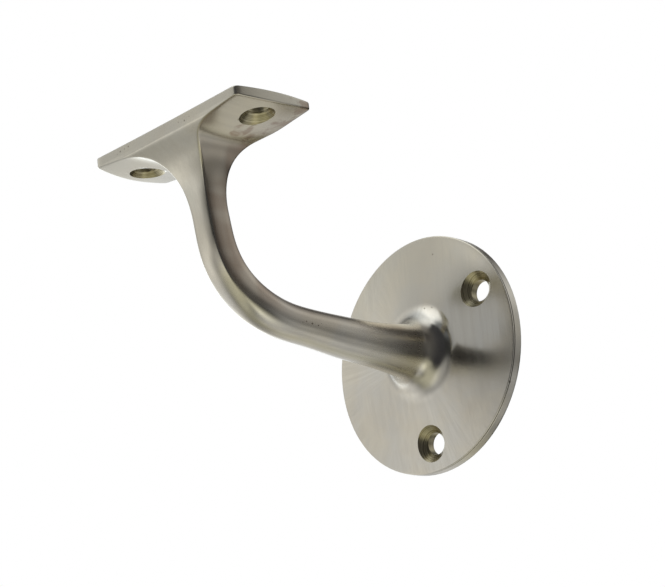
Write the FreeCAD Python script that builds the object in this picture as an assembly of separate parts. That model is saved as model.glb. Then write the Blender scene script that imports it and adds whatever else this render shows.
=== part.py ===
import FreeCAD, Part
import math
import os
from FreeCAD import Vector

# Handrail bracket: one casting of a domed rose for the wall, a round arm that
# bends upwards and turns square, and a flared saddle plate under the rail.
# Millimetres. The origin is the middle of the rose's flat back, the wall is on
# the +Y side, the arm reaches out along -Y and +Z is up. The rail runs along X.

# Rose against the wall
rose_diameter = 64.0
rim_height = 3.1
dome_slope_deg = 7.0
rim_line_width = 0.3
rim_line_depth = 0.2
rim_lip = 0.35

# Wall screw holes through the rose. The middle one sits behind the arm
wall_screw_angles_deg = (28.0, 155.0, 268.0)
wall_screw_from_rim = 8.0
wall_screw_hole = 5.8
wall_screw_head = 10.0

# Neck that grows out of the rose
neck_stub = 14.0
neck_length = 30.0
neck_flare_radius = 130.0
neck_root_fillet = 7.0
arm_diameter = 11.3

# Line of the arm, in the plane of symmetry
projection = 76.0
rail_height = 49.4
run_rise = 1.3
bend_reach = 29.0
bend_squareness = 2.33
bend_entry_diameter = 9.7
bend_middle_diameter = 10.6
riser_straight = 1.95
riser_lean = 1.2

# Square riser under the saddle plate, measured between its arrises
riser_width = 6.8
riser_front = 3.6
riser_rear = 3.0
riser_crown = 0.45

# Saddle plate and the flare that carries it
plate_length = 54.2
plate_width = 24.6
plate_edge = 2.1
plate_end_bow = 1.6
plate_end_skew = 0.9
plate_side_hollow = 0.35
plate_corner_radius = 1.2
wing_slope_deg = 6.5
underside_tilt_deg = 1.4
underside_crown = 1.1
flare_reach = 11.0
flare_height = 18.0
rear_flare_height = 12.0

# Rail screw holes through the saddle plate
rail_screw_from_end = 5.2
rail_screw_hole = 5.8
rail_screw_head = 9.8

# Shared by both kinds of screw
countersink_angle_deg = 90.0
cut_margin = 1.0

# Worked out from the driving dimensions
rose_radius = rose_diameter / 2
wall_screw_circle = rose_diameter - 2 * wall_screw_from_rim
rail_screw_spacing = plate_length - 2 * rail_screw_from_end
arm_radius = arm_diameter / 2
dome_slope = math.tan(math.radians(dome_slope_deg))
wing_slope = math.tan(math.radians(wing_slope_deg))
plate_half_length = plate_length / 2
plate_half_width = plate_width / 2
wing_level = rail_height - plate_edge
flare_half_length = riser_width / 2 + flare_reach
flare_top = wing_level - (plate_half_length - flare_half_length) * wing_slope
bend_start = projection - riser_lean - bend_reach
bend_height = flare_top - flare_height - riser_straight - run_rise

# Weight of the middle pole that makes a four-part section a true circle
arc_weight = math.cos(math.pi / 4)

# Share of its radius by which a worn corner is set in from the plate's sides
corner_share = 0.93

# How close an edge has to be to count as the one that is looked for
tolerance = 0.01

# Places of the sections that shape the arm
run_steps = 5
bend_steps = 7
square_from = 0.3
flat_from = 0.34
flat_by = 0.6
flare_angles = (5, 22, 38, 52, 65, 78, 90)
crown_end_deg = 52


def dome_height(radius):
    """Height of the rose's front face above the wall at a radius."""
    return rim_height + (rose_radius - radius) * dome_slope


def neck_radius(distance):
    """Radius of the neck at a distance from the wall."""
    short = max(neck_length - distance, 0.0)
    return arm_radius + neck_flare_radius - math.sqrt(neck_flare_radius**2 - short**2)


def neck_slope(distance):
    """How fast the neck narrows at a distance from the wall."""
    short = max(neck_length - distance, 0.0)
    return short / math.sqrt(neck_flare_radius**2 - short**2)


def wing_height(x):
    """Height of the plate's sloping underside at a distance from its middle."""
    return wing_level - (plate_half_length - x) * wing_slope


def neck_foot_radius():
    """Radius at which the neck's outline meets the rose's front face."""
    radius = arm_radius
    for _ in range(20):
        radius = neck_radius(dome_height(radius))
    return radius


def make_base():
    """Rose and neck root, turned from one outline and blended where they meet."""
    line_front = rim_height - rim_lip
    line_back = line_front - rim_line_width
    line_middle = (line_front + line_back) / 2
    foot_radius = neck_foot_radius()
    foot_height = dome_height(foot_radius)
    corners = [
        Vector(0, -neck_stub, 0),
        Vector(0, 0, 0),
        Vector(rose_radius, 0, 0),
        Vector(rose_radius, -line_back, 0),
        Vector(rose_radius - rim_line_depth, -line_middle, 0),
        Vector(rose_radius, -line_front, 0),
        Vector(rose_radius, -rim_height, 0),
        Vector(foot_radius, -foot_height, 0),
    ]
    middle_height = (foot_height + neck_stub) / 2
    middle = Vector(neck_radius(middle_height), -middle_height, 0)
    tip = Vector(neck_radius(neck_stub), -neck_stub, 0)
    outline = [Part.makeLine(first, second) for first, second in zip(corners, corners[1:])]
    outline.append(Part.Arc(corners[-1], middle, tip).toShape())
    outline.append(Part.makeLine(tip, corners[0]))
    base = Part.Face(Part.Wire(outline)).revolve(Vector(0, 0, 0), Vector(0, 1, 0), 360)
    blend = [edge for edge in base.Edges if is_neck_foot(edge, foot_radius, foot_height)]
    return base.makeFillet(neck_root_fillet, blend)


def is_neck_foot(edge, radius, height):
    """Whether an edge is the circle where the neck meets the rose."""
    if not isinstance(edge.Curve, Part.Circle):
        return False
    near = abs(edge.Curve.Center.y + height) < tolerance
    return near and abs(edge.Curve.Radius - radius) < tolerance


def section(y, z, tilt_deg, half_width, front, rear, crown):
    """One cross-section of the arm: four corners and the bulge of each side.

    The corners sit at half_width along X, and at front and rear across the
    line of the arm. A crown of 1 with equal halves is a true circle, and a
    crown of 0 is a rectangle.
    """
    tilt = math.radians(tilt_deg)
    centre = Vector(0, y, z)
    wide = Vector(half_width, 0, 0)
    outward = Vector(0, -math.sin(tilt), -math.cos(tilt))
    ahead = outward * front
    behind = outward * -rear
    grow = 1 + crown
    return {
        "front": [centre - wide + ahead, centre + ahead * grow, centre + wide + ahead],
        "right": [centre + wide + ahead, centre + wide * grow, centre + wide + behind],
        "rear": [centre + wide + behind, centre + behind * grow, centre - wide + behind],
        "left": [centre - wide + behind, centre - wide * grow, centre - wide + ahead],
    }


def round_section(y, z, tilt_deg, radius):
    """Cross-section where the arm is a plain round bar."""
    half = radius * arc_weight
    return section(y, z, tilt_deg, half, half, half, 1)


def mix(first, second, share):
    """Value part of the way from the first to the second."""
    return first + (second - first) * share


def run_sections():
    """Round sections from the neck to the start of the bend.

    The second one carries on the neck's own slope, so that the two meet with
    no kink.
    """
    start_radius = neck_radius(neck_stub)
    sections = [round_section(-neck_stub, 0, 0, start_radius)]
    for step in range(1, run_steps):
        share = step / run_steps
        distance = mix(neck_stub, bend_start, share)
        narrowing = max(0.0, distance - neck_length) / (bend_start - neck_length)
        radius = neck_radius(distance) + (bend_entry_diameter - arm_diameter) / 2 * narrowing
        if step == 1:
            radius = start_radius - neck_slope(neck_stub) * (distance - neck_stub)
        rise = run_rise * (step - 1) / (run_steps - 1)
        sections.append(round_section(-distance, rise * share, 0, radius))
    return sections


def bend_sections():
    """Sections round the bend, from round to square with crowned sides."""
    sections = []
    power = 2 / bend_squareness
    for step in range(bend_steps + 1):
        share = step / bend_steps
        angle = math.pi / 2 * share
        along = math.sin(angle) ** power
        across = max(0.0, math.cos(angle)) ** power
        y = -bend_start - bend_reach * along
        z = run_rise + bend_height * (1 - across)
        swell = math.sin(min(1.0, share * 2) * math.pi / 2) ** 2
        half = mix(bend_entry_diameter, bend_middle_diameter, swell) / 2 * arc_weight
        square = max(0.0, share - square_from) / (1 - square_from)
        flat = min(1.0, max(0.0, share - flat_from) / (flat_by - flat_from))
        sections.append(
            section(
                y,
                z,
                math.degrees(angle),
                mix(half, riser_width / 2, square),
                mix(half, riser_front, square),
                mix(half, riser_rear, square),
                mix(1, riser_crown, flat),
            )
        )
    return sections


def flare_growth(rise):
    """Sideways growth of the flare at a share of its own height."""
    return flare_reach * (1 - math.sqrt(1 - min(1.0, max(0.0, rise)) ** 2))


def flare_sections():
    """Level sections from the riser out to the edge of the saddle plate."""
    sections = []
    level_tilt = 90 - underside_tilt_deg
    for angle_deg in flare_angles:
        rise = math.sin(math.radians(angle_deg))
        drop = flare_height * (1 - rise)
        growth = flare_growth(rise)
        rear_growth = flare_growth(1 - drop / rear_flare_height)
        calm = max(0.0, 1 - angle_deg / crown_end_deg)
        sections.append(
            section(
                -projection + riser_lean * calm / 2,
                flare_top - drop,
                level_tilt,
                riser_width / 2 + growth,
                min(riser_front + growth, plate_half_width),
                min(riser_rear + rear_growth, plate_half_width),
                riser_crown * calm,
            )
        )
    half_way = (flare_half_length + plate_half_length) / 2
    for half_length in (half_way, plate_half_length):
        sections.append(
            section(
                -projection,
                wing_height(half_length),
                level_tilt,
                half_length,
                plate_half_width,
                plate_half_width,
                0,
            )
        )
    return sections


def skin(sections, side):
    """Smooth surface of one side of the arm through all its sections."""
    poles = [[row[side][place] for row in sections] for place in range(3)]
    weights = [[weight] * len(sections) for weight in (1, arc_weight, 1)]
    spans = len(sections) - 3
    surface = Part.BSplineSurface()
    surface.buildFromPolesMultsKnots(
        poles,
        [3, 3],
        [4] + [1] * (spans - 1) + [4],
        [0, 1],
        list(range(spans + 1)),
        False,
        False,
        2,
        3,
        weights,
    )
    return surface


def make_arm():
    """Arm with its flare, and the plate's edge above it, as two solids.

    The middle poles of the last sections are moved to bow the plate's ends,
    hollow its long sides and crown its underside. The rear corners move out,
    because the plate is a little longer along its rear side.
    """
    sections = run_sections() + bend_sections() + flare_sections()
    pole_gain = (1 + arc_weight) / arc_weight
    bow = Vector(plate_end_bow * pole_gain, 0, 0)
    hollow = sections[-1]["front"][1] - sections[-1]["rear"][1]
    hollow = hollow.normalize() * plate_side_hollow * pole_gain
    crown = Vector(0, 0, underside_crown * pole_gain)
    skew = Vector(plate_end_skew, 0, 0)
    rim = sections[-1]
    rim["right"][1] += bow + skew / 2
    rim["left"][1] -= bow + skew / 2
    rim["right"][2] += skew
    rim["rear"][0] += skew
    rim["rear"][2] -= skew
    rim["left"][0] -= skew
    for row in sections[-3:]:
        row["front"][1] -= hollow
        row["rear"][1] += hollow
    for row in sections[-3:-1]:
        row["right"][1] -= crown
        row["left"][1] -= crown
    sides = [skin(sections, side) for side in ("front", "right", "rear", "left")]
    last = sides[0].bounds()[3]
    foot = Part.Face(Part.Wire([side.vIso(0).toShape() for side in sides]))
    top_wire = Part.Wire([side.vIso(last).toShape() for side in sides])
    shell = Part.makeShell([side.toShape() for side in sides] + [foot, Part.Face(top_wire)])
    shell.sewShape()
    arm = Part.Solid(shell)
    if arm.Volume < 0:
        arm.reverse()
    spare = plate_edge + plate_width
    plate = Part.Face(top_wire).extrude(Vector(0, 0, spare))
    above = Part.makeBox(2 * plate_length, 2 * plate_width, 2 * spare)
    above.translate(Vector(-plate_length, -projection - plate_width, rail_height))
    return arm, plate.cut(above)


def countersunk_hole(mouth_radius, hole_radius, depth):
    """Cutter for a screw hole from its mouth at the origin along +Z."""
    cone_depth = (mouth_radius - hole_radius) / math.tan(math.radians(countersink_angle_deg / 2))
    wide = mouth_radius + (mouth_radius - hole_radius) / cone_depth * cut_margin
    cone = Part.makeCone(wide, hole_radius, cone_depth + cut_margin, Vector(0, 0, -cut_margin))
    return cone.fuse(Part.makeCylinder(hole_radius, depth + cut_margin))


def cut_screw_holes(body):
    """Countersunk holes in the rose and in the saddle plate."""
    circle = wall_screw_circle / 2
    for angle_deg in wall_screw_angles_deg:
        angle = math.radians(angle_deg)
        depth = dome_height(circle)
        cutter = countersunk_hole(wall_screw_head / 2, wall_screw_hole / 2, depth)
        cutter.rotate(Vector(0, 0, 0), Vector(1, 0, 0), -90)
        cutter.translate(Vector(circle * math.cos(angle), -depth, circle * math.sin(angle)))
        body = body.cut(cutter)
    for side in (-1, 1):
        x = side * rail_screw_spacing / 2
        z = wing_height(abs(x)) - underside_crown / 2
        cutter = countersunk_hole(rail_screw_head / 2, rail_screw_hole / 2, rail_height - z)
        cutter.translate(Vector(x, -projection, z))
        body = body.cut(cutter)
    return body


def plate_end(y):
    """Distance of the bowed plate end from the middle, at a distance y across."""
    share = y / plate_half_width
    bow = plate_end_bow * (1 - share**2)
    return plate_half_length + bow + plate_end_skew * (1 + share) / 2


def round_plate_corners(body):
    """Take the four sharp corners off the saddle plate."""
    inset = plate_corner_radius * corner_share
    low = wing_height(0) - cut_margin
    tall = rail_height - low + cut_margin
    size = inset + plate_end_bow + cut_margin
    for side in (1, -1):
        across = side * (plate_half_width - inset)
        place = Vector(plate_end(across) - inset, across - projection, low)
        keep = Part.makeCylinder(plate_corner_radius, tall, place)
        start = place if side > 0 else place - Vector(0, size, 0)
        corner = Part.makeBox(size, size, tall, start).cut(keep)
        body = body.cut(corner)
        body = body.cut(corner.mirror(Vector(0, 0, 0), Vector(1, 0, 0)))
    return body


def make_bracket():
    """The whole casting."""
    arm, plate = make_arm()
    body = make_base().fuse([arm, plate]).removeSplitter()
    body = round_plate_corners(body)
    return cut_screw_holes(body)


bracket = make_bracket().Solids[0]
box = bracket.optimalBoundingBox(False)
print("valid", bracket.isValid(), "volume", round(bracket.Volume, 1))
print("x", round(box.XMin, 2), round(box.XMax, 2), "y", round(box.YMin, 2), round(box.YMax, 2))
print("z", round(box.ZMin, 2), round(box.ZMax, 2))
os.makedirs("parts", exist_ok=True)
bracket.exportStep("parts/bracket_casting.step")
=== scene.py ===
# %% [markdown]
# # A handrail bracket in satin nickel
# The bracket is one brass casting. A round rose sits against the wall, a bar
# reaches out from it and bends upwards, and the bar opens into a saddle plate
# that the rail rests on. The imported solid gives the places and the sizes. This
# lesson builds the piece that is seen, with softened edges and a hand-brushed
# finish, and lights it the way a small metal part is lit on a white table.

# %% Load the fixed frame
import math

import bmesh
import bpy
from mathutils import Matrix, Vector


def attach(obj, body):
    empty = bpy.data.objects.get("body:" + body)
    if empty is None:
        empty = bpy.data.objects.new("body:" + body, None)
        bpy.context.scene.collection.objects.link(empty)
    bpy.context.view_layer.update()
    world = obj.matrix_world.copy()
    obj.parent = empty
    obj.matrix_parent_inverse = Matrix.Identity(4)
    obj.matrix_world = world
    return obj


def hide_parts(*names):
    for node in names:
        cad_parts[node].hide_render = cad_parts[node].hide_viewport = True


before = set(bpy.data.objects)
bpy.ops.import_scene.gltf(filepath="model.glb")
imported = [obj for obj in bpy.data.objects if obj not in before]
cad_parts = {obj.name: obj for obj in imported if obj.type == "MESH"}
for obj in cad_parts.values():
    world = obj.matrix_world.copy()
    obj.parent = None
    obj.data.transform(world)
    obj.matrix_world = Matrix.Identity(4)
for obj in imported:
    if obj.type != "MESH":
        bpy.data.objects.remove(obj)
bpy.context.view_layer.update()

# %% [markdown]
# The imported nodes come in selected, and an operator acts on everything that is
# selected. So each step begins by letting go of whatever the last one held.

# %% Small helpers for selecting
mm = 0.001


def let_go():
    """Leave edit mode and deselect every object."""
    if bpy.context.object and bpy.context.object.mode != "OBJECT":
        bpy.ops.object.mode_set(mode="OBJECT")
    bpy.ops.object.select_all(action="DESELECT")


def take(piece):
    """Make one object the selected and active one."""
    let_go()
    piece.select_set(True)
    bpy.context.view_layer.objects.active = piece


def finish_with(piece, kind, **settings):
    """Add a modifier, set it up and apply it."""
    take(piece)
    modifier = piece.modifiers.new(kind.lower(), kind)
    for name, value in settings.items():
        setattr(modifier, name, value)
    bpy.ops.object.modifier_apply(modifier=modifier.name)


# %% [markdown]
# The casting is grown like a plant: one closed loop of points starts behind the
# rose and is extruded again and again, first round the rose's rim, then over
# its dome, along the neck and the bar, and out to the edges of the plate. A
# subdivision surface then rounds the coarse cage. A lathe and a loft as two
# bodies would leave a seam where they meet, and the real piece has none there.
#
# Every loop has 24 points, six to each side. On the round bar they are evenly
# spread. Where the bar turns square they crowd towards the four corners, and
# that keeps the long edges crisp without making them razor sharp.

# %% The sizes, in millimetres, as the solid has them
rose_radius = 32.0
rim_height = 3.1
dome_slope = math.tan(math.radians(7.0))
arm_radius = 5.65
neck_length = 30.0
neck_stub = 14.0
neck_flare_radius = 130.0
projection = 76.0
rail_height = 49.4
plate_half_length = 27.1
plate_half_width = 12.3
plate_edge = 2.1
wing_slope = math.tan(math.radians(6.5))
wing_level = rail_height - plate_edge

# %% [markdown]
# Two factors make up for the roundings. A subdivision surface draws a coarse
# ring inwards, so a round loop is made a little too wide. And a curve through
# two corners only goes part of the way to the point that pulls it, so that
# point is moved further than the curve should go.

# %% A loop of 24 points on one cross-section
round_places = (0.0902, 0.2599, 0.4209, 0.5791, 0.7401, 0.9098)
round_gain = 6 / (4 + 2 * math.cos(math.radians(15)))
curve_weight = math.cos(math.pi / 4)
pull = (1 + curve_weight) / curve_weight
edge_of_side = 0.707
widest_corner, widest_second, middle_place = 0.09, 0.2, 0.37


def side_points(first, bulge, last, corner, roundness):
    """Six points on one side, from its first corner to its last.

    The bulge pulls the side's middle outwards. The corner is the width, in
    millimetres, over which the edge is softened.
    """
    length = max((last - first).length, 0.1)
    near = min(corner / (edge_of_side * length), widest_corner)
    second = min(3 * near, widest_second)
    sharp_places = (near, second, middle_place, 1 - middle_place, 1 - second, 1 - near)
    points = []
    for even, crowded in zip(round_places, sharp_places):
        t = crowded + (even - crowded) * roundness
        parts = ((1 - t) ** 2, 2 * curve_weight * t * (1 - t), t * t)
        points.append((first * parts[0] + bulge * parts[1] + last * parts[2]) / sum(parts))
    return points


def cross_section(y, z, tilt_deg, half_width, front, rear, crown, corner, roundness,
                  bow=0.0, hollow=0.0, sag=0.0, skew=0.0):
    """The 24 points of one loop, in millimetres."""
    tilt = math.radians(tilt_deg)
    centre = Vector((0, y, z))
    wide = Vector((half_width, 0, 0))
    outward = Vector((0, -math.sin(tilt), -math.cos(tilt)))
    ahead, behind = outward * front, outward * -rear
    grow = 1 + crown
    dent = outward * hollow
    end = Vector((bow + skew / 2, 0, -sag))
    other_end = Vector((-bow - skew / 2, 0, -sag))
    rear_wide = Vector((half_width + skew, 0, 0))
    sides = (
        (centre - wide + ahead, centre + ahead * grow - dent, centre + wide + ahead),
        (centre + wide + ahead, centre + wide * grow + end, centre + rear_wide + behind),
        (centre + rear_wide + behind, centre + behind * grow + dent, centre - rear_wide + behind),
        (centre - rear_wide + behind, centre - wide * grow + other_end, centre - wide + ahead),
    )
    points = []
    for first, bulge, last in sides:
        points += side_points(first, bulge, last, corner, roundness)
    gain = 1 + (round_gain - 1) * roundness
    return [centre + (point - centre) * gain for point in points]


def round_loop(y, z, radius):
    """A loop where the casting is plainly round."""
    half = radius * curve_weight
    return cross_section(y, z, 0, half, half, half, crown=1, corner=0.3, roundness=1)


# %% The loops of the rose, as a turner would cut them
rose_profile = (
    (12.0, 0.0), (30.6, 0.0), (31.5, 0.0), (31.9, 0.02), (32.0, 0.2), (32.0, 0.9),
    (32.0, 2.05), (32.0, 2.34), (31.97, 2.42), (31.8, 2.45), (31.8, 2.57),
    (31.97, 2.6), (31.99, 2.67), (31.99, 3.0), (31.93, 3.09), (31.78, 3.13),
    (31.2, 3.2), (28.0, 3.59), (24.0, 4.08), (20.0, 4.57), (16.5, 5.0),
    (14.3, 5.27), (13.0, 5.38), (11.3, 5.83), (9.72, 6.74), (8.42, 8.05), (7.5, 9.7),
    (7.08, 11.6),
)
rose_loops = [round_loop(-distance, 0, radius) for radius, distance in rose_profile]
lip_radius, lip_start = 30.8, 2.65


def wear_lip(loops, angle_deg, spread_deg, push):
    """Press the rose's front lip back towards the wall round one angle."""
    for loop, (radius, distance) in zip(loops, rose_profile):
        if radius < lip_radius or distance < lip_start:
            continue
        for point in loop:
            away = math.degrees(math.atan2(point.z, point.x)) - angle_deg
            away = (away + 180) % 360 - 180
            point.y += push * math.exp(-((away / spread_deg) ** 2))


wear_lip(rose_loops, 38, 16, 0.22)
wear_lip(rose_loops, -30, 10, 0.1)
print("loops on the rose", len(rose_loops))

# %% The loops of the straight run and of the bend
bend_reach, run_rise, bend_height = 29.0, 1.3, 24.6
riser_setback = 1.2
bend_start = projection - riser_setback - bend_reach
riser_width, riser_front, riser_rear, riser_crown = 6.8, 3.6, 3.0, 0.45
neck_fill, run_taper = 0.15, 0.8
run_steps, bend_steps = 5, 8
bend_power = 2 / 2.33
bend_radius, bend_swell = 4.85, 0.45
square_from = 0.3
flat_from, flat_over, flat_rate = 0.34, 0.26, 3.2
bar_soft = 0.22


def neck_radius(distance):
    """Radius of the neck at a distance from the wall."""
    short = max(neck_length - distance, 0.0)
    return arm_radius + neck_flare_radius - math.sqrt(neck_flare_radius**2 - short**2)


run_loops = [round_loop(-neck_stub, 0, neck_radius(neck_stub) + neck_fill)]
for step in range(1, run_steps):
    share = step / run_steps
    distance = neck_stub + (bend_start - neck_stub) * share
    narrowing = max(0.0, distance - neck_length) / (bend_start - neck_length)
    rise = run_rise * (step - 1) / (run_steps - 1) * share
    radius = neck_radius(distance) - run_taper * narrowing
    run_loops.append(round_loop(-distance, rise, radius))

bend_loops = []
for step in range(bend_steps):
    share = step / (bend_steps - 1)
    angle = math.pi / 2 * share
    along = math.sin(angle) ** bend_power
    across = max(0.0, math.cos(angle)) ** bend_power
    swell = math.sin(min(1.0, share * 2) * math.pi / 2) ** 2
    half = (bend_radius + bend_swell * swell) * curve_weight
    square = max(0.0, share - square_from) / (1 - square_from)
    flat = min(1.0, max(0.0, share - flat_from) / flat_over)
    bend_loops.append(
        cross_section(
            -bend_start - bend_reach * along,
            run_rise + bend_height * (1 - across),
            math.degrees(angle),
            half_width=half + (riser_width / 2 - half) * square,
            front=half + (riser_front - half) * square,
            rear=half + (riser_rear - half) * square,
            crown=1 + (riser_crown - 1) * flat,
            corner=bar_soft,
            roundness=max(0.0, 1 - flat_rate * flat),
        )
    )
print("loops on the run", len(run_loops), "and round the bend", len(bend_loops))

# %% The loops of the flare and of the saddle plate
flare_reach, flare_height, rear_flare_height = 11.0, 18.0, 12.0
flare_half = riser_width / 2 + flare_reach
flare_angles_deg, calm_angle_deg, widest_angle_deg = (5, 22, 38, 52, 66, 90), 52, 90
flare_setback = 0.6
side_hollow, underside_sag = 0.35, 1.1
plate_tilt, level_tilt = 88.6, 90
plate_bow, plate_skew = 1.6, 0.9
edge_soft = 0.28
corner_soft = 0.55


def wing_height(x):
    """Height of the plate's sloping underside at a distance from its middle."""
    return wing_level - (plate_half_length - x) * wing_slope


def growth(rise):
    """How far the flare has opened at a share of its own height."""
    return flare_reach * (1 - math.sqrt(1 - min(1.0, max(0.0, rise)) ** 2))


flare_loops = []
for angle_deg in flare_angles_deg:
    rise = math.sin(math.radians(angle_deg))
    drop = flare_height * (1 - rise)
    calm = max(0.0, 1 - angle_deg / calm_angle_deg)
    at_plate = angle_deg == widest_angle_deg
    flare_loops.append(
        cross_section(
            -projection + flare_setback * calm,
            wing_height(flare_half) - drop,
            plate_tilt,
            half_width=riser_width / 2 + growth(rise),
            front=min(riser_front + growth(rise), plate_half_width),
            rear=min(riser_rear + growth(1 - drop / rear_flare_height), plate_half_width),
            crown=riser_crown * calm,
            corner=bar_soft,
            roundness=0,
            hollow=side_hollow * pull if at_plate else 0,
            sag=underside_sag * pull if at_plate else 0,
        )
    )


def plate_loop(half_length, z, bow, sag, corner, inset=0.0, tilt_deg=plate_tilt):
    """A loop round the saddle plate, which is a little longer along its rear side."""
    half_width = plate_half_width - inset
    return cross_section(
        -projection, z, tilt_deg, half_length - inset, half_width, half_width,
        crown=0, corner=corner, roundness=0, bow=bow * pull, hollow=side_hollow * pull,
        sag=sag * pull, skew=plate_skew * bow / plate_bow,
    )


half_way = (flare_half + plate_half_length) / 2
under = plate_half_length - edge_soft
for half_length, bow, sag, corner in (
    (half_way, 0.0, underside_sag, 0.4), (24.6, 0.9, 1.0, 0.4), (26.4, 1.4, 0.9, 0.45),
    (under, plate_bow, 0.85, 0.5),
):
    flare_loops.append(plate_loop(half_length, wing_height(half_length), bow, sag, corner))
flare_loops.append(
    plate_loop(plate_half_length, wing_level + 0.12, plate_bow, 0.78, corner_soft)
)
plate_loops = [plate_loop(plate_half_length, wing_level + 0.4, plate_bow, 0.66, corner_soft)]
for below_top, bow, inset in (
    (0.75, plate_bow, 0.0), (0.3, plate_bow, 0.0), (0.07, plate_bow, 0.06),
    (0.0, plate_bow, 0.3), (0.0, plate_bow, 0.8), (0.0, 1.2, 5.0),
):
    plate_loops.append(plate_loop(plate_half_length, rail_height - below_top, bow, 0,
                                  corner_soft, inset, level_tilt))
print("loops on the flare", len(flare_loops), "and on the plate", len(plate_loops))

# %% [markdown]
# Now the cage itself. A circle is added behind the rose, and from then on the
# same move is repeated: extrude the open loop, then set its points on the next
# cross-section. The two open ends are closed last.

# %% Grow the casting from a circle
let_go()
bpy.ops.mesh.primitive_circle_add(
    vertices=24, radius=12 * mm, rotation=(math.pi / 2, 0, 0), fill_type="NOTHING"
)
casting = bpy.context.object
casting.name = "nickel_casting"
casting.data.name = "nickel_casting"
bpy.ops.object.transform_apply(location=True, rotation=True, scale=True)
bpy.ops.object.mode_set(mode="EDIT")
bpy.ops.mesh.select_all(action="SELECT")


def set_loop(loop, points):
    """Put the selected loop's points in their places."""
    for vertex, point in zip(loop, points):
        vertex.co = point * mm


def grow_loop(loop, points):
    """Extrude the open loop once and shape it. Gives the new loop."""
    numbers = [vertex.index for vertex in loop]
    bpy.ops.mesh.extrude_region_move()
    mesh = bmesh.from_edit_mesh(casting.data)
    mesh.verts.ensure_lookup_table()
    fresh = []
    for number in numbers:
        old = mesh.verts[number]
        fresh.append(next(e.other_vert(old) for e in old.link_edges if e.other_vert(old).select))
    set_loop(fresh, points)
    mesh.verts.index_update()
    bmesh.update_edit_mesh(casting.data)
    return fresh


cage = bmesh.from_edit_mesh(casting.data)
cage.verts.ensure_lookup_table()
loop = list(cage.verts)
all_loops = rose_loops + run_loops + bend_loops + flare_loops + plate_loops
set_loop(loop, all_loops[0])
for points in all_loops[1:]:
    loop = grow_loop(loop, points)
bpy.ops.mesh.select_all(action="DESELECT")
bpy.ops.mesh.select_mode(type="EDGE")
bpy.ops.mesh.select_non_manifold(extend=False, use_boundary=True)
bpy.ops.mesh.edge_face_add()
bpy.ops.mesh.select_all(action="SELECT")
bpy.ops.mesh.normals_make_consistent(inside=False)
bpy.ops.object.mode_set(mode="OBJECT")
print("cage faces", len(casting.data.polygons))

# %% Round the cage
finish_with(casting, "SUBSURF", levels=2, render_levels=2)
print("faces after rounding", len(casting.data.polygons))

# %% [markdown]
# The screw holes are cut after the rounding, so that their mouths stay true
# circles. The cutter is a loop grown like the casting: first the countersink
# with a few turning grooves, then the straight hole. Where a cut passes close
# by a point of the casting, two points come to lie almost in one place. They
# are merged at the end, and the count of faces is then the same in every run.

# %% A countersink cutter grown from a circle
screw_radius, wall_mouth, rail_mouth = 2.9, 5.0, 4.7
above_mouth, past_hole = 1.5, 0.8
cone_steps, steps_outside, groove_depth = 14, 4, 0.012


def countersink_cutter(mouth_radius, depth):
    """A cutter with its mouth at the origin, cutting along +Z.

    Its cone runs on outside the mouth, because the face that it cuts slopes.
    """
    let_go()
    bpy.ops.mesh.primitive_circle_add(vertices=80, radius=1, fill_type="NGON")
    cutter = bpy.context.object
    cutter.name = "screw_cutter"
    cone = mouth_radius - screw_radius
    profile = [(mouth_radius + above_mouth, -above_mouth)]
    for step in range(-steps_outside, cone_steps):
        share = step / cone_steps
        groove = groove_depth if step % 2 else -groove_depth
        profile.append((mouth_radius - cone * share + groove, cone * share))
    profile += [(screw_radius, cone), (screw_radius, depth + past_hole)]
    bpy.ops.object.mode_set(mode="EDIT")
    bpy.ops.mesh.select_all(action="SELECT")
    radius, level = profile[0]
    bpy.ops.transform.resize(value=(radius * mm, radius * mm, 1))
    bpy.ops.transform.translate(value=(0, 0, level * mm))
    for next_radius, next_level in profile[1:]:
        bpy.ops.mesh.extrude_region_move(
            TRANSFORM_OT_translate={"value": (0, 0, (next_level - level) * mm)}
        )
        ratio = next_radius / radius
        bpy.ops.transform.resize(value=(ratio, ratio, 1), center_override=(0, 0, next_level * mm))
        radius, level = next_radius, next_level
    bpy.ops.mesh.select_all(action="SELECT")
    bpy.ops.mesh.normals_make_consistent(inside=False)
    bpy.ops.object.mode_set(mode="OBJECT")
    return cutter


def cut_hole(mouth_radius, depth, place, turn):
    """Cut one countersunk hole through the casting."""
    cutter = countersink_cutter(mouth_radius, depth)
    cutter.data.transform(Matrix.Translation(place * mm) @ turn)
    finish_with(casting, "BOOLEAN", operation="DIFFERENCE", solver="EXACT", object=cutter)
    bpy.data.objects.remove(cutter)


# %% Cut the three wall holes, square to the dome, and the two rail holes
hole_angles_deg = (28, 155, 268)
hole_circle = 24.0
rail_hole_x, underside_crown = 21.9, 1.05
merge_distance = 0.002
face = rim_height + (rose_radius - hole_circle) * dome_slope
for angle_deg in hole_angles_deg:
    angle = math.radians(angle_deg)
    outwards = Vector((math.cos(angle), 0, math.sin(angle)))
    drill = (Vector((0, 1, 0)) - outwards * dome_slope).normalized()
    mouth = outwards * (hole_circle + face * dome_slope) - Vector((0, face, 0))
    turn = Vector((0, 0, 1)).rotation_difference(drill).to_matrix().to_4x4()
    cut_hole(wall_mouth, face, mouth, turn)
face = wing_height(rail_hole_x) - underside_crown
for x in (-rail_hole_x, rail_hole_x):
    cut_hole(rail_mouth, rail_height - face, Vector((x, -projection, face)), Matrix.Identity(4))
take(casting)
bpy.ops.object.mode_set(mode="EDIT")
bpy.ops.mesh.select_all(action="SELECT")
bpy.ops.mesh.remove_doubles(threshold=merge_distance * mm)
bpy.ops.object.mode_set(mode="OBJECT")
print("faces after the holes", len(casting.data.polygons))
bpy.ops.object.shade_smooth_by_angle(angle=math.radians(38))

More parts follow.
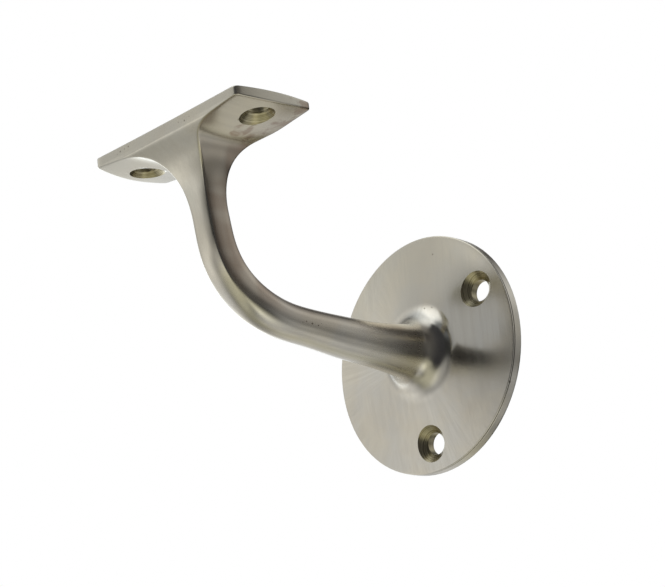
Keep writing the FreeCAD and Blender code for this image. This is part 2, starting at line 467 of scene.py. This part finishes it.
# %% [markdown]
# The finish is satin nickel over brass: a metal all through, so the shader is
# fully metallic, and the colour of its reflections is a pale warm grey. What
# makes it read as a real casting is the way it was finished by hand. A belt
# left fine lines, along the bar and up and down the rose. One spot on the rose
# was buffed smoother than the rest, beside the neck. The line behind the rim is
# painted almost black, and a little dark residue sits in the pits and down in
# the screw holes. The faces that turn to the right and the underside of the
# right wing carry painted shade, a brown broken up by tarnish, with a few smoky
# stains.
#
# Effects that come back in more than one place are node groups with named
# sockets. They give out masks and values only. The shader stays outside.

# %% Helpers that add a node and link its inputs
def fill(tree, socket, value):
    """Link a socket to the one that is given, or set it to a plain value."""
    if isinstance(value, bpy.types.NodeSocket):
        tree.links.new(value, socket)
    else:
        socket.default_value = value


def add(kind, tree, inputs=None, **settings):
    """Add a node, set its plain properties and fill its inputs."""
    node = tree.nodes.new(kind)
    for name, value in settings.items():
        setattr(node, name, value)
    for name, value in (inputs or {}).items():
        fill(tree, node.inputs[name], value)
    return node


def work_out(tree, operation, first, second=0.0, third=0.0):
    """One step of arithmetic."""
    node = add("ShaderNodeMath", tree, {0: first, 1: second, 2: third}, operation=operation)
    return node.outputs["Value"]


def product(tree, value, *others):
    """Several values multiplied with each other, as one mask cuts another."""
    for other in others:
        value = work_out(tree, "MULTIPLY", value, other)
    return value


def ramp(tree, value, low, high, start=0.0, end=1.0):
    """A soft step: start below low, end above high."""
    node = add("ShaderNodeMapRange", tree, {"Value": value, "From Min": low, "From Max": high,
               "To Min": start, "To Max": end}, interpolation_type="SMOOTHSTEP")
    return node.outputs["Result"]


def noise(tree, place, scale, detail, roughness=0.5, distortion=0.0):
    """Random values that drift from place to place."""
    node = add("ShaderNodeTexNoise", tree, {"Vector": place, "Scale": scale, "Detail": detail,
               "Roughness": roughness, "Distortion": distortion})
    return node.outputs["Fac"]


def choose(tree, share, first, second):
    """A value part of the way from the first to the second."""
    node = add("ShaderNodeMix", tree, {"Factor": share, "A": first, "B": second})
    return node.outputs["Result"]


def blend(tree, share, first, second):
    """Mix two colours."""
    node = add("ShaderNodeMix", tree, data_type="RGBA")
    for name, value in (("Factor", share), ("A", first), ("B", second)):
        fill(tree, next(i for i in node.inputs if i.name == name and i.enabled), value)
    return next(o for o in node.outputs if o.enabled)


def new_group(name, inputs, outputs):
    """An empty node group with named sockets, and its two end nodes."""
    group = bpy.data.node_groups.new(name, "ShaderNodeTree")
    for socket, kind in inputs:
        group.interface.new_socket(name=socket, in_out="INPUT", socket_type=kind)
    for socket, kind in outputs:
        group.interface.new_socket(name=socket, in_out="OUTPUT", socket_type=kind)
    return group, add("NodeGroupInput", group), add("NodeGroupOutput", group)


def use(group, tree, inputs):
    """Place a node group and fill its inputs. Gives what comes out of it."""
    return add("ShaderNodeGroup", tree, inputs, node_tree=group).outputs[0]


# %% Belt lines, broad and hair-fine
belt_lines, taken, given = new_group(
    "belt_lines",
    [("Vector", "NodeSocketVector"), ("Across", "NodeSocketVector")],
    [("Lines", "NodeSocketFloat")],
)
hair_scale, streak_scale = 1.0, 0.22
hair_share, streak_share = 0.55, 0.45
stretched = add("ShaderNodeVectorMath", belt_lines, {0: taken.outputs["Vector"],
                1: taken.outputs["Across"]}, operation="MULTIPLY").outputs["Vector"]
hair = noise(belt_lines, stretched, hair_scale, 3.0, 0.65)
streak = noise(belt_lines, stretched, streak_scale, 2.0)
both = work_out(belt_lines, "MULTIPLY_ADD", hair, hair_share,
                product(belt_lines, streak, streak_share))
belt_lines.links.new(ramp(belt_lines, both, 0.3, 0.7), given.inputs["Lines"])

# %% A round spot on the surface, for pits and stains
spot, taken, given = new_group(
    "casting_spot",
    [("Vector", "NodeSocketVector"), ("Centre", "NodeSocketVector"),
     ("Radius", "NodeSocketFloat")],
    [("Mask", "NodeSocketFloat")],
)
away = add("ShaderNodeVectorMath", spot, {0: taken.outputs["Vector"],
           1: taken.outputs["Centre"]}, operation="DISTANCE").outputs["Value"]
share = work_out(spot, "DIVIDE", away, taken.outputs["Radius"])
spot.links.new(ramp(spot, share, 0.45, 1.0, 1.0, 0.0), given.inputs["Mask"])

# %% Where on the casting a point is, in millimetres
nickel = bpy.data.materials.new("satin_nickel")
nickel.use_nodes = True
tree = nickel.node_tree
metal = tree.nodes["Principled BSDF"]
metal.inputs["Metallic"].default_value = 1
place_of = add("ShaderNodeTexCoord", tree).outputs["Object"]
parts = add("ShaderNodeSeparateXYZ", tree, {"Vector": place_of})
x_of, y_of, z_of = (parts.outputs[axis] for axis in "XYZ")
side = product(tree, x_of, 1 / mm)
reach = product(tree, y_of, -1 / mm)
height = product(tree, z_of, 1 / mm)
squares = work_out(tree, "MULTIPLY_ADD", x_of, x_of, product(tree, z_of, z_of))
from_axis = product(tree, work_out(tree, "SQRT", squares), 1 / mm)
on_run = product(tree, ramp(tree, reach, 9, 14), ramp(tree, height, 8, 18, 1, 0))
at_neck = product(tree, ramp(tree, from_axis, 12, 17, 1, 0), ramp(tree, reach, 18, 40, 1, 0))
on_rose = product(tree, ramp(tree, from_axis, 13, 18), ramp(tree, reach, 6, 9, 1, 0))
on_plate = ramp(tree, height, 40, 45)
slope_of = add("ShaderNodeSeparateXYZ", tree, {
    "Vector": add("ShaderNodeNewGeometry", tree).outputs["Normal"]})

# %% The lines that the belt left
fan_stretch = (3200, 400, 130)
upright_stretch = (2600, 2600, 110)
lengthwise_stretch = (2600, 90, 2600)
turn_scale = 0.02
round_it = work_out(tree, "ARCTAN2", z_of, x_of)
fan_place = add("ShaderNodeCombineXYZ", tree, {
    "X": product(tree, round_it, turn_scale), "Y": y_of,
    "Z": product(tree, from_axis, mm)}).outputs["Vector"]
fan = use(belt_lines, tree, {"Vector": fan_place, "Across": fan_stretch})
upright = use(belt_lines, tree, {"Vector": place_of, "Across": upright_stretch})
lengthwise = use(belt_lines, tree, {"Vector": place_of, "Across": lengthwise_stretch})
along_bar = choose(tree, work_out(tree, "MAXIMUM", on_run, on_plate), upright, lengthwise)
patches = ramp(tree, noise(tree, place_of, 48.0, 1.0), 0.42, 0.58)
lines = choose(tree, ramp(tree, reach, 7, 13), choose(tree, patches, fan, upright), along_bar)


# %% Clouds, the dark rim line, painted side shade, stains and pits
def spots(places):
    """A mask of round spots, from their centres and radii in millimetres."""
    mask = 0.0
    for centre, radius in places:
        one = use(spot, tree, {"Vector": place_of, "Centre": [c * mm for c in centre],
                  "Radius": radius * mm})
        mask = work_out(tree, "MAXIMUM", one, mask)
    return mask


clouds = noise(tree, place_of, 85.0, 4.0, 0.55)
tarnish = ramp(tree, noise(tree, place_of, 42.0, 3.0, distortion=0.6), 0.45, 0.7)
smoke = ramp(tree, noise(tree, place_of, 190.0, 4.0, 0.6, 0.4), 0.4, 0.58)
# The line behind the rim, which is painted almost black
groove = product(tree, ramp(tree, reach, 2.41, 2.45), ramp(tree, reach, 2.58, 2.62, 1, 0),
                 ramp(tree, from_axis, 31.3, 31.5))
buffed = product(tree, spots([((18.0, -4.0, 4.0), 17.0)]), ramp(tree, reach, 8, 12, 1, 0))
level_side = work_out(tree, "MAXIMUM", ramp(tree, height, 18, 26),
                      ramp(tree, slope_of.outputs["Z"], -0.5, -0.15))
# Painted shade: faces that turn to the right and the right wing's underside are darkened to
# brown, broken up by tarnish
right_side = product(tree, ramp(tree, slope_of.outputs["X"], 0.3, 0.8),
                     ramp(tree, height, -4, 8), ramp(tree, side, 24, 30, 1, 0), level_side)
wing_share = 0.5
under_wing = product(tree, ramp(tree, side, 3, 10), ramp(tree, height, 38, 43),
                     ramp(tree, slope_of.outputs["Z"], -0.5, 0.0, 1, 0), wing_share)
end_face = product(tree, ramp(tree, side, 28, 31), ramp(tree, slope_of.outputs["X"], 0.6, 0.9))
tarnish_and_side_shade = product(
    tree, work_out(tree, "MAXIMUM", right_side, under_wing),
    ramp(tree, tarnish, 0.0, 1.0, 0.5, 1.0), work_out(tree, "SUBTRACT", 1.0, end_face),
    ramp(tree, slope_of.outputs["Y"], -0.75, -0.45),
)
stain_places = (
    ((12.0, -64.5, 42.0), 9.0), ((20.0, -65.5, 46.0), 5.0), ((28.0, -68.0, 47.0), 5.0),
    ((14.0, -75.0, 45.5), 4.0), ((8.0, -66.0, 36.0), 6.0),
)
stains = product(tree, ramp(tree, spots(stain_places), 0.0, 0.6), smoke,
                 ramp(tree, slope_of.outputs["Z"], 0.1, 0.5, 1, 0))
pits = spots((
    ((-17.4, -88.1, 48.0), 0.3), ((-15.8, -88.05, 48.1), 0.24), ((-14.2, -88.0, 48.2), 0.33),
    ((-18.6, -88.1, 47.6), 0.2), ((5.3, -88.0, 47.6), 0.22), ((7.6, -88.0, 47.2), 0.3),
    ((9.5, -88.0, 47.6), 0.2), ((27.8, -2.5, -15.65), 0.45), ((7.8, -3.73, 25.7), 0.3),
    ((4.25, -5.63, 11.3), 0.25), ((6.7, -5.5, 10.8), 0.25), ((4.8, -48.4, 0.5), 0.35),
    ((4.8, -50.4, 0.8), 0.25), ((4.8, -46.3, 0.3), 0.28), ((4.7, -49.5, 1.1), 0.2),
    ((4.7, -47.4, 1.3), 0.24), ((4.8, -45.3, 0.9), 0.2), ((4.8, -51.6, 0.4), 0.2),
))
print("nodes in the nickel", len(tree.nodes))

# %% Put the finish together: each layer is a mask, its strength and a colour
silver, warm_silver = (0.615, 0.593, 0.53, 1), (0.658, 0.614, 0.512, 1)
colour = blend(tree, ramp(tree, clouds, 0.35, 0.65), silver, warm_silver)
for mask, strength, tint in (
    (buffed, 0.6, (0.56, 0.565, 0.54, 1)),
    (ramp(tree, height, 2, 30), 0.5, (0.62, 0.59, 0.475, 1)),
    (tarnish, 0.3, (0.53, 0.48, 0.39, 1)),
    # painted shade on the right-facing sides and under the right wing, broken up by tarnish
    (tarnish_and_side_shade, 0.95, (0.33, 0.26, 0.2, 1)),
    (stains, 0.75, (0.28, 0.195, 0.14, 1)),
    (lines, 0.3, (0.47, 0.44, 0.38, 1)),
    (pits, 0.75, (0.12, 0.09, 0.06, 1)),
    (groove, 0.9, (0.1, 0.07, 0.045, 1)),
):
    colour = blend(tree, product(tree, mask, strength), colour, tint)
tree.links.new(colour, metal.inputs["Base Color"])
gloss = 0.17
for mask, rougher in ((on_rose, 0.015), (at_neck, 0.03), (on_run, 0.04), (buffed, -0.1),
                      (lines, 0.05), (clouds, 0.04), (groove, 0.3)):
    gloss = work_out(tree, "MULTIPLY_ADD", mask, rougher, gloss)
tree.links.new(gloss, metal.inputs["Roughness"])
pit_depth = -8.0
line_depth = choose(tree, buffed, choose(tree, on_rose, 0.6, 1.0), 0.3)
relief = work_out(tree, "MULTIPLY_ADD", pits, pit_depth, product(tree, lines, line_depth))
bump = add("ShaderNodeBump", tree, {"Height": relief, "Strength": 0.25, "Distance": 0.00001})
tree.links.new(bump.outputs["Normal"], metal.inputs["Normal"])

# %% [markdown]
# The screw holes were drilled and never brushed. They keep the drill's fine
# rings, a rougher skin and a thinner, yellower plating, so they get a finish of
# their own. Their faces are found by place and slope.

# %% The finish inside the screw holes
drilled = bpy.data.materials.new("drilled_nickel")
drilled.use_nodes = True
inside = drilled.node_tree
metal_inside = inside.nodes["Principled BSDF"]
metal_inside.inputs["Metallic"].default_value = 1
within = add("ShaderNodeTexCoord", inside).outputs["Object"]
within_parts = add("ShaderNodeSeparateXYZ", inside, {"Vector": within})
in_plate = ramp(inside, within_parts.outputs["Z"], 38 * mm, 40 * mm)
depth_of = choose(inside, in_plate, within_parts.outputs["Y"], within_parts.outputs["Z"])
rings_per_metre = 3800.0
rings = add("ShaderNodeTexNoise", inside, {"W": product(inside, depth_of, rings_per_metre),
            "Scale": 1.0, "Detail": 2.0}, noise_dimensions="1D").outputs["Fac"]
dark_brass, pale_brass = (0.30, 0.265, 0.16, 1), (0.58, 0.53, 0.37, 1)
tone = blend(inside, ramp(inside, rings, 0.35, 0.65), dark_brass, pale_brass)
stain = ramp(inside, noise(inside, within, 260.0, 3.0), 0.5, 0.7)
tone = blend(inside, stain, tone, (0.36, 0.31, 0.19, 1))
inside.links.new(tone, metal_inside.inputs["Base Color"])
rough_inside = ramp(inside, rings, 0.3, 0.7, 0.26, 0.38)
inside.links.new(rough_inside, metal_inside.inputs["Roughness"])
ring_bump = add("ShaderNodeBump", inside, {"Height": rings, "Strength": 0.5, "Distance": 0.00006})
inside.links.new(ring_bump.outputs["Normal"], metal_inside.inputs["Normal"])

# %% Give the finishes to the casting
casting.data.materials.clear()
casting.data.materials.append(nickel)
casting.data.materials.append(drilled)
wall_holes = [(hole_circle * math.cos(math.radians(a)), hole_circle * math.sin(math.radians(a)))
              for a in hole_angles_deg]
rose_depth, saddle_level, lying_flat = 6, 44, 0.9
wall_search, rail_search = 6.2, 5.7
drilled_faces = 0
for face in casting.data.polygons:
    x, y, z = (c / mm for c in face.center)
    in_rose = y > -rose_depth and abs(face.normal.y) < lying_flat and any(
        math.hypot(x - hx, z - hz) < wall_search for hx, hz in wall_holes)
    in_saddle = (z > saddle_level and abs(face.normal.z) < lying_flat
                 and math.hypot(abs(x) - rail_hole_x, y + projection) < rail_search)
    if in_rose or in_saddle:
        face.material_index = 1
        drilled_faces += 1
print("faces in the screw holes", drilled_faces)
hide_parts("bracket_casting")
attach(casting, "root")

# %% [markdown]
# The camera stands where the photograph was taken from: in front of the bracket,
# to its right and a little below it, with a long lens.

# %% The camera
sight = bpy.data.cameras.new("photograph_view")
camera = bpy.data.objects.new("photograph_view", sight)
bpy.context.scene.collection.objects.link(camera)
azimuth, elevation, roll = 0.780436, -0.327163, -0.112384
camera_distance, shift_right, shift_up = 0.75, -0.0267723, 0.0167352
focal_pixels, picture_pixels, sensor_mm = 2817.97, 665, 36
back = Vector((
    math.sin(azimuth) * math.cos(elevation),
    -math.cos(azimuth) * math.cos(elevation),
    math.sin(elevation),
))
level = Vector((math.cos(azimuth), math.sin(azimuth), 0))
above = back.cross(level)
across = level * math.cos(roll) + above * math.sin(roll)
upward = above * math.cos(roll) - level * math.sin(roll)
place = back * camera_distance + across * shift_right + upward * shift_up
camera.matrix_world = Matrix((
    (across.x, upward.x, back.x, place.x),
    (across.y, upward.y, back.y, place.y),
    (across.z, upward.z, back.z, place.z),
    (0, 0, 0, 1),
))
sight.sensor_width = sensor_mm
sight.lens = focal_pixels * sensor_mm / picture_pixels
sight.clip_start = 0.01
bpy.context.scene.camera = camera
print("camera at", [round(v, 4) for v in place], "lens", round(sight.lens, 1))

# %% [markdown]
# Polished and satin metal has hardly any look of its own: it shows what stands
# round it. The photograph's studio had big soft lights to the left, above and
# behind, and one dark cloth to the right of the camera. The neck's black side
# is that cloth, and its lower edge is the sharp line along the neck. Here the
# studio is painted on the world as soft round lights in a dim room, with the
# cloth in front of them, and the white backdrop where the camera looks, so that
# the metal shows it as well. The camera itself sees that backdrop's white all
# round, from every side, and so does anything that is seen through.

# %% The studio's lights, cloth and backdrop
world = bpy.data.worlds.new("studio")
bpy.context.scene.world = world
world.use_nodes = True
sky = world.node_tree
sky.nodes.clear()
direction = add("ShaderNodeTexCoord", sky).outputs["Generated"]


def towards(azimuth_deg, elevation_deg):
    """Direction by its angle from straight out of the wall, and its height."""
    a, e = math.radians(azimuth_deg), math.radians(elevation_deg)
    return Vector((math.sin(a) * math.cos(e), -math.cos(a) * math.cos(e), math.sin(e)))


def facing(way):
    """How nearly a seen direction points one way, from -1 to 1."""
    return add("ShaderNodeVectorMath", sky, {0: direction, 1: way},
               operation="DOT_PRODUCT").outputs["Value"]


def soft_light(room, tint, azimuth_deg, elevation_deg, strength, inner_deg, outer_deg):
    """Add one soft round light to the room."""
    edge, middle = (math.cos(math.radians(angle)) for angle in (outer_deg, inner_deg))
    light = ramp(sky, facing(towards(azimuth_deg, elevation_deg)), edge, middle, 0.0, strength)
    return add("ShaderNodeVectorMath", sky, {0: light, 1: tint, 2: room},
               operation="MULTIPLY_ADD").outputs["Vector"]


def dark_cloth(room, from_deg, to_deg, bottom_deg, top_deg, dark, faded):
    """Hang one dark cloth in front of the lights, between two azimuths.

    It turns paler after its first 15 degrees, and its far side fades out.
    """
    side_hem, bottom_hem, top_hem = 4, 2, 3
    paler_after, fade_before, fade_past = 15, 45, 8
    axes = add("ShaderNodeSeparateXYZ", sky, {"Vector": direction})
    away = product(sky, axes.outputs["Y"], -1.0)
    azimuth = work_out(sky, "DEGREES", work_out(sky, "ARCTAN2", axes.outputs["X"], away))
    elevation = work_out(sky, "DEGREES", work_out(sky, "ARCSINE", axes.outputs["Z"]))
    behind = product(
        sky, ramp(sky, azimuth, from_deg - side_hem, from_deg + side_hem),
        ramp(sky, azimuth, to_deg - fade_before, to_deg + fade_past, 1.0, 0.0),
        ramp(sky, elevation, top_deg - top_hem, top_deg + top_hem, 1.0, 0.0),
        ramp(sky, elevation, bottom_deg - bottom_hem, bottom_deg + bottom_hem),
    )
    colour = blend(sky, ramp(sky, azimuth, from_deg + paler_after, to_deg), dark, faded)
    return blend(sky, behind, room, colour)


# %% [markdown]
# Each light has a tint, an azimuth and an elevation in degrees, a strength, and
# two angles in degrees: it is full inside the first and gone outside the second.

# %% Hang the lights and the cloth, and let the metal see them
daylight, plain, lamplight = (0.95, 1.0, 1.06), (1.0, 1.0, 1.0), (1.02, 1.0, 0.8)
lights = (
    (daylight, -48, 69, 0.94, 4, 36), (plain, -40, 20, 0.5, 4, 36),
    (plain, -75, -19, 0.8, 4, 36), (plain, 135, 24, 0.46, 4, 36),
    (plain, -128, -27, 0.44, 4, 36), (lamplight, -10, -50, 0.61, 4, 36),
    (plain, 160, -69, 0.56, 4, 36), (lamplight, 86, -63, 0.35, 3, 16),
    (lamplight, 78, -58, 0.5, 4, 36), (plain, 82, 4, 0.1, 4, 36),
    (plain, 60, 80, 0.3, 4, 36), (plain, -75, 27, 0.57, 2, 26),
    (plain, -50, -1, 0.27, 2, 26), (plain, -6, -19, 0.45, 2, 26),
    (plain, -38, -14, 0.3, 2, 26), (daylight, -103, -4, 0.75, 2, 26),
    (daylight, -115, 10, 1.88, 2, 26), (daylight, -3, 41, 0.2, 2, 26),
    (plain, 167, 35, 0.28, 2, 26), (plain, 144, -33, 0.38, 2, 26),
    (lamplight, -86, -64, 0.36, 2, 26), (lamplight, -151, -46, 0.32, 2, 26),
    (plain, -29, 47, 0.85, 9, 21), (plain, 3, 63, 0.3, 3, 12),
    (plain, -133, -16, 0.3, 5, 18), (plain, -146, 30, 0.3, 3, 20),
    (plain, 127, -15, 0.22, 3, 22), (plain, 156, 44, 0.15, 2, 26),
)
dim, white = (0.03, 0.03, 0.03), (1, 1, 1, 1)
room = dim
for light in lights:
    room = soft_light(room, *light)
room = dark_cloth(room, 16, 106, -39, 67, (0.035, 0.035, 0.04, 1), (0.13, 0.125, 0.12, 1))
behind_bracket = towards(math.degrees(azimuth) - 180, -math.degrees(elevation))
backdrop_edge, backdrop_middle = math.cos(math.radians(16)), math.cos(math.radians(11))
backdrop = ramp(sky, facing(behind_bracket), backdrop_edge, backdrop_middle)
room = blend(sky, backdrop, room, white)
rays = add("ShaderNodeLightPath", sky)
plain_white = work_out(sky, "MAXIMUM", rays.outputs["Is Camera Ray"],
                       rays.outputs["Is Transmission Ray"])
pale_grey = (0.9, 0.9, 0.9, 1)
in_metal = blend(sky, rays.outputs["Is Glossy Ray"], pale_grey, room)
seen = blend(sky, plain_white, in_metal, white)
glow = add("ShaderNodeBackground", sky, {"Color": seen})
sky.links.new(glow.outputs["Background"], add("ShaderNodeOutputWorld", sky).inputs["Surface"])
print("lights in the studio", len(lights))

# %% [markdown]
# The bracket hangs in the air as it would on its wall, so the floor lies well
# below it. A wide pale disc is enough. It is kept out of the metal, because the
# studio on the world already has the light that would come up from it.

# %% The floor
floor_radius, floor_level = 3.6, -0.45
let_go()
bpy.ops.mesh.primitive_circle_add(vertices=96, radius=floor_radius, fill_type="NGON",
                                  location=(0, 0, floor_level))
floor = bpy.context.object
floor.name = "floor"
paper = bpy.data.materials.new("pale_paper")
paper.use_nodes = True
paper_skin = paper.node_tree.nodes["Principled BSDF"]
paper_skin.inputs["Base Color"].default_value = (0.85, 0.85, 0.84, 1)
paper_skin.inputs["Roughness"].default_value = 0.9
floor.data.materials.append(paper)
floor.visible_glossy = False

bpy.context.scene.view_settings.view_transform = "Standard"
print("floor at", floor_level)
